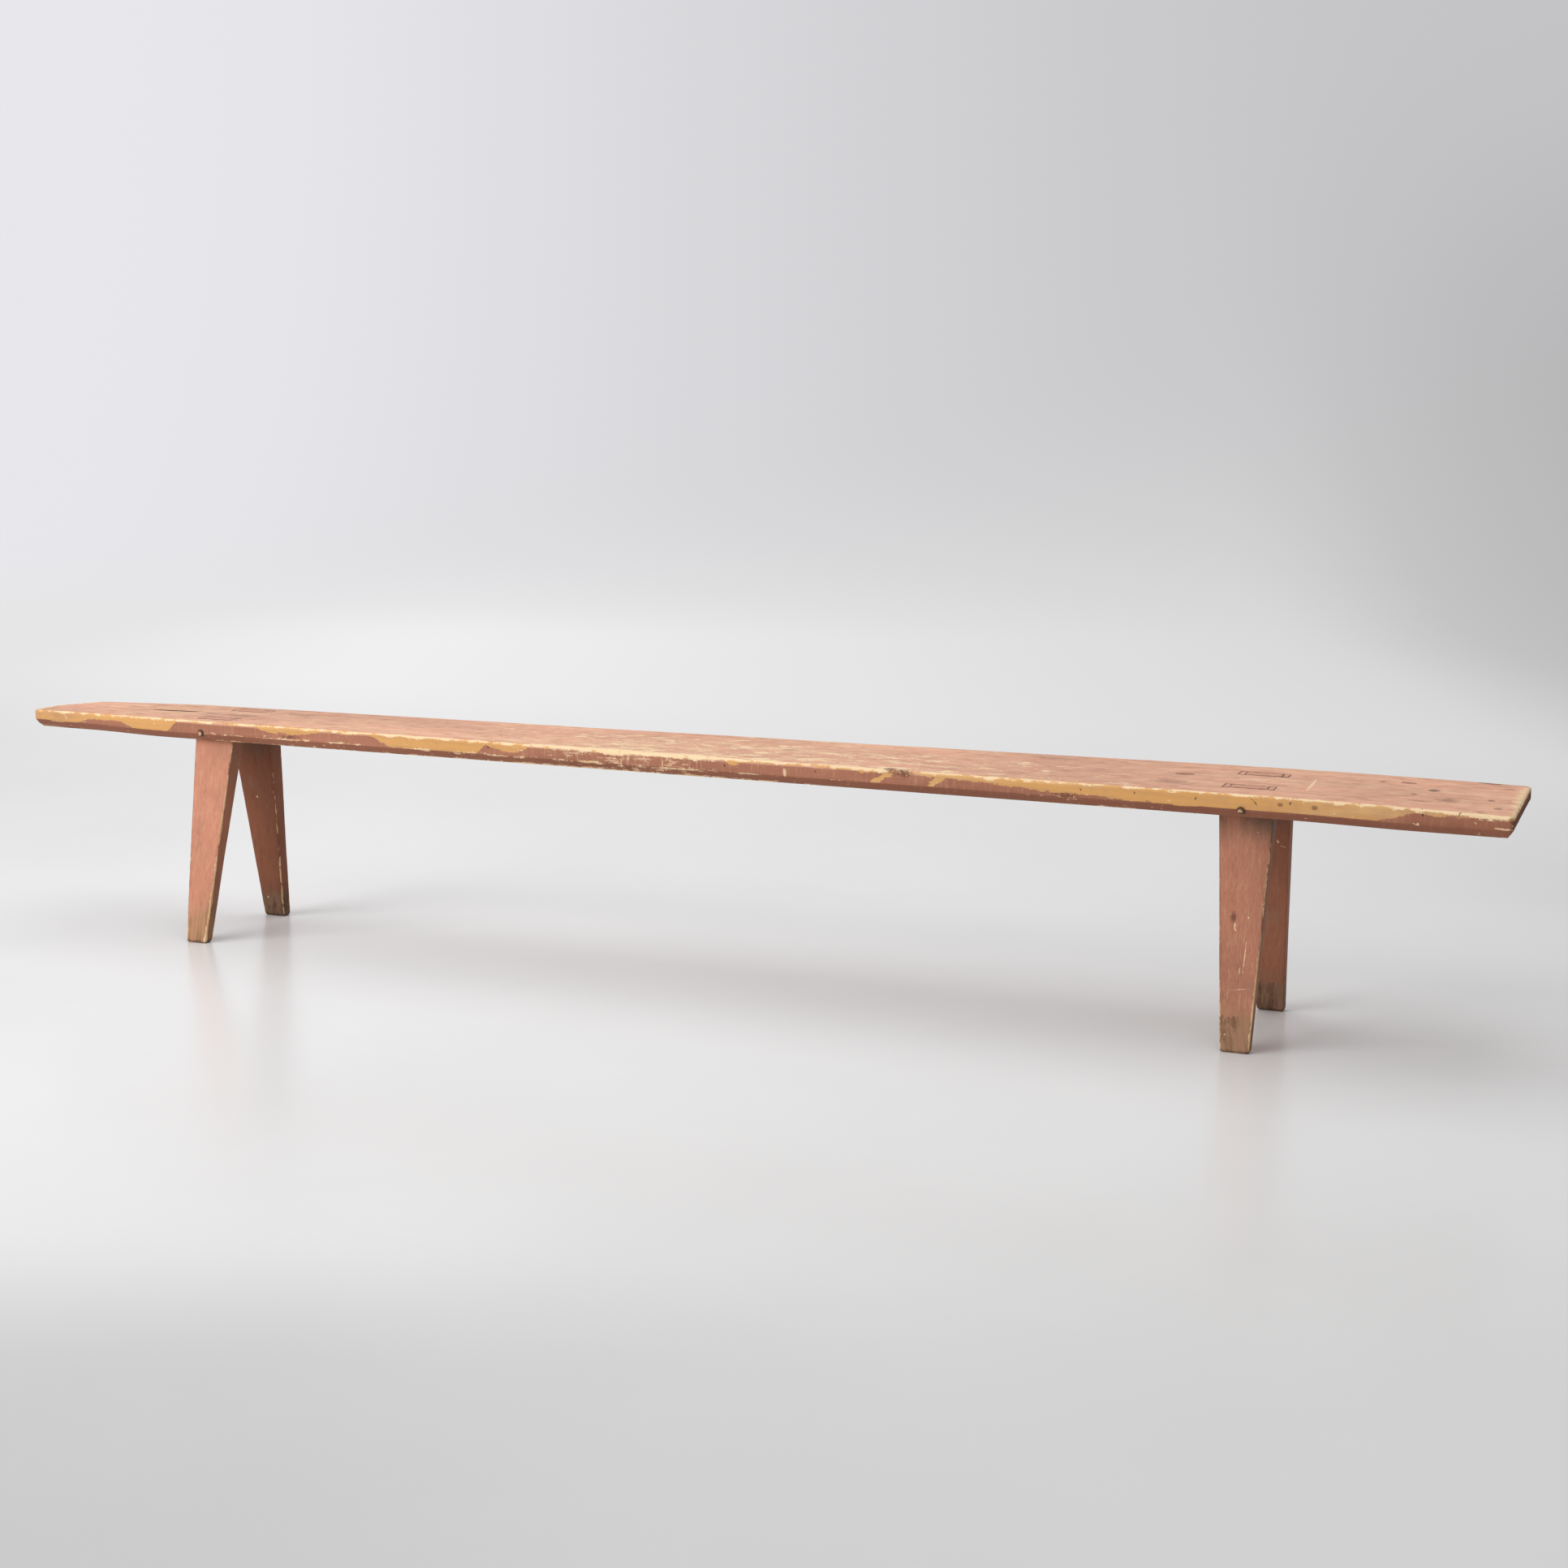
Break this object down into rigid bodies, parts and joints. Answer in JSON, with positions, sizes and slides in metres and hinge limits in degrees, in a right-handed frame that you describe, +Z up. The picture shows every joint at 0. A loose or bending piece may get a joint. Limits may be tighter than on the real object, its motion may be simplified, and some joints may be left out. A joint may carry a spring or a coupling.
{
  "type": "country plank bench",
  "caption": "Long tapering plank seat on splayed, tapered board legs, through-tenoned, wedged and cross-pegged, in worn brick-pink paint over ochre wood.",
  "frame": {"origin": "on the floor, under the middle of the seat", "axes": "+X along the bench towards its wide end, +Y towards its back, +Z up"},
  "size_m": [3, 0.3276, 0.45],
  "materials": {
    "painted_wood": "dusty brick-pink paint, matt and chalky, worn through to ochre and cream on the arrises",
    "peg_wood": "bare end grain, dry and dull"
  },
  "bodies": {
    "root": {"seat_plank": "painted_wood", "leg_front_left": "painted_wood", "leg_back_left": "painted_wood", "leg_front_right": "painted_wood", "leg_back_right": "painted_wood", "wedge_front_left_outer": "painted_wood", "wedge_front_left_inner": "painted_wood", "wedge_back_left_outer": "painted_wood", "wedge_back_left_inner": "painted_wood", "wedge_front_right_outer": "painted_wood", "wedge_front_right_inner": "painted_wood", "wedge_back_right_outer": "painted_wood", "wedge_back_right_inner": "painted_wood", "peg_front_left": "peg_wood", "peg_back_left": "peg_wood", "peg_front_right": "peg_wood", "peg_back_right": "peg_wood"}
  },
  "joints": []
}
